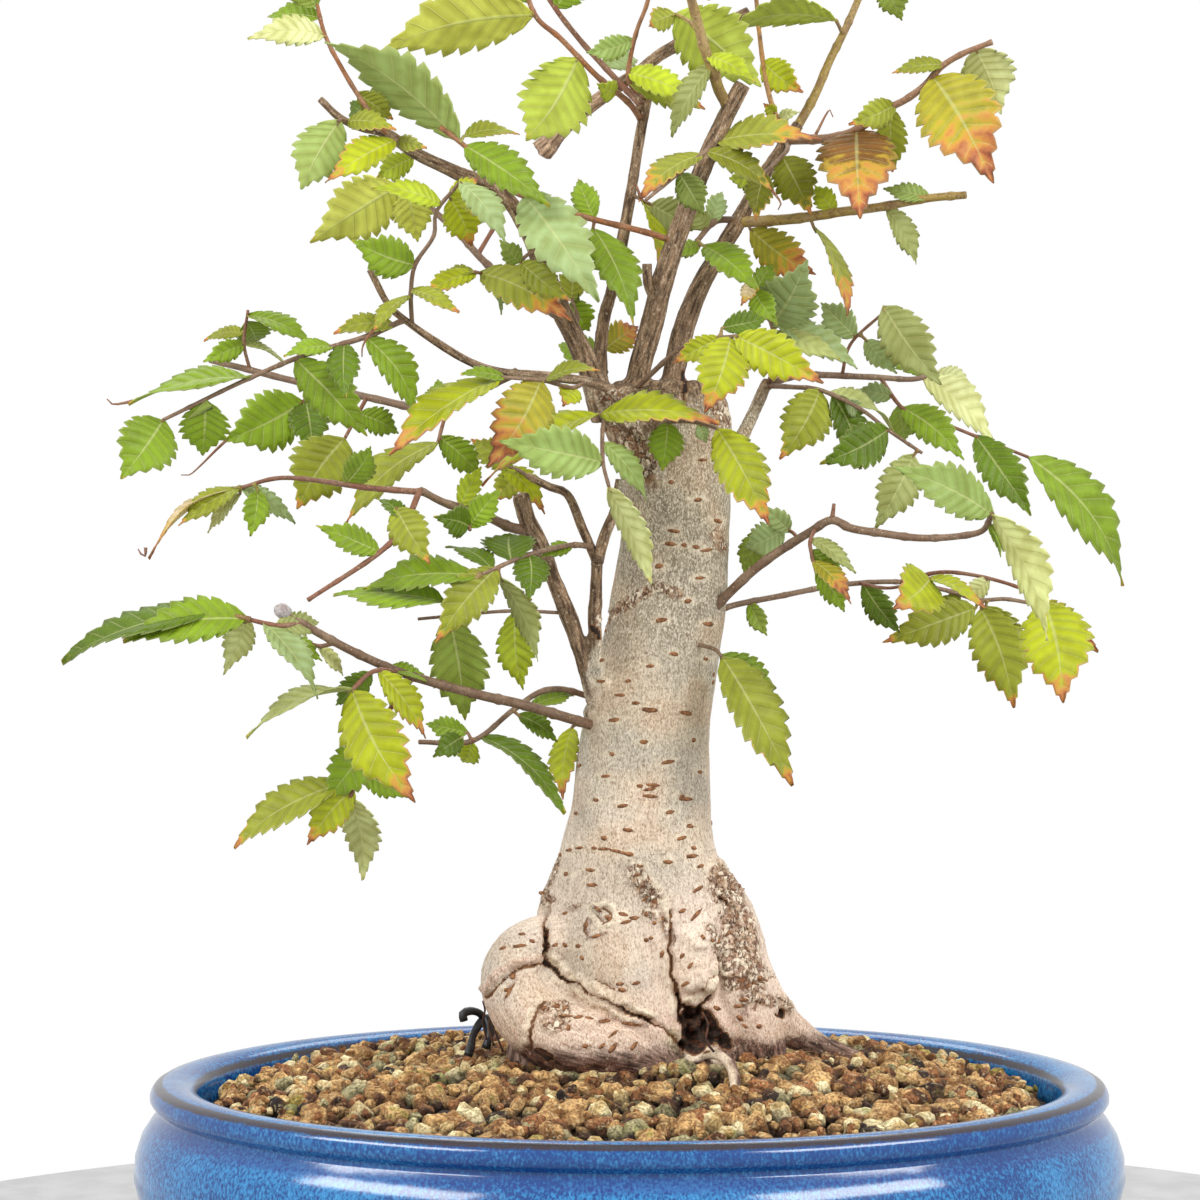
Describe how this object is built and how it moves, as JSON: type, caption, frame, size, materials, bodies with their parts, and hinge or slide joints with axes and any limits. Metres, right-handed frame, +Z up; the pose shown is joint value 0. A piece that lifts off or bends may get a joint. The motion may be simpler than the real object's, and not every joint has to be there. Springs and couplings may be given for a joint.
{
  "type": "bonsai tree",
  "caption": "Japanese zelkova bonsai with a thick grey trunk, spreading limbs and toothed green and copper leaves, in a blue glazed oval pot filled with clay grains.",
  "frame": {"origin": "centre of the pot's footprint, at the bottom of its feet", "axes": "+Z up along the trunk, +X to the viewer's right along the pot's long side, -Y towards the tree's front"},
  "size_m": [0.2933, 0.214, 0.4232],
  "materials": {
    "glaze": "glossy cobalt glaze with paler specks, brown at its edges",
    "soil": "matte baked clay grains, tan to red-brown",
    "bark": "matte grey-beige bark with orange-brown dashes",
    "leaf": "satin green leaves, some yellow and copper at the edges"
  },
  "bodies": {
    "root": {"pot": "glaze", "soil": "soil", "tree_wood": "bark", "branch_lowest": "leaf", "branch_lowest_thin": "leaf", "branch_trunk_left": "leaf", "branch_stem_left": "leaf", "branch_stem_low": "leaf", "branch_stem_fork": "leaf", "branch_stem_end": "leaf", "branch_crotch_front": "leaf", "branch_near": "leaf", "branch_trunk_front": "leaf", "branch_grey": "leaf", "branch_left_long": "leaf", "branch_rising": "leaf", "branch_low_left_back": "leaf", "branch_left_back": "leaf", "branch_left_middle": "leaf", "branch_left_low": "leaf", "branch_left_top_back": "leaf", "branch_left_end": "leaf", "branch_left_end_low": "leaf", "branch_left_end_back": "leaf", "branch_left_end_top": "leaf", "branch_across": "leaf", "branch_crotch_back": "leaf", "branch_middle_side": "leaf", "branch_orange": "leaf", "branch_red": "leaf", "branch_middle_top": "leaf", "branch_centre_shoot": "leaf", "branch_centre_twig": "leaf", "branch_right_limb_low": "leaf", "branch_right_shoot": "leaf", "branch_yellow": "leaf", "branch_right_knot": "leaf", "branch_far": "leaf", "branch_far_upper": "leaf", "branch_cluster": "leaf", "branch_right_back": "leaf", "branch_right_inner": "leaf", "branch_low_right": "leaf", "branch_low_far": "leaf", "branch_trunk_right": "leaf"}
  },
  "joints": []
}
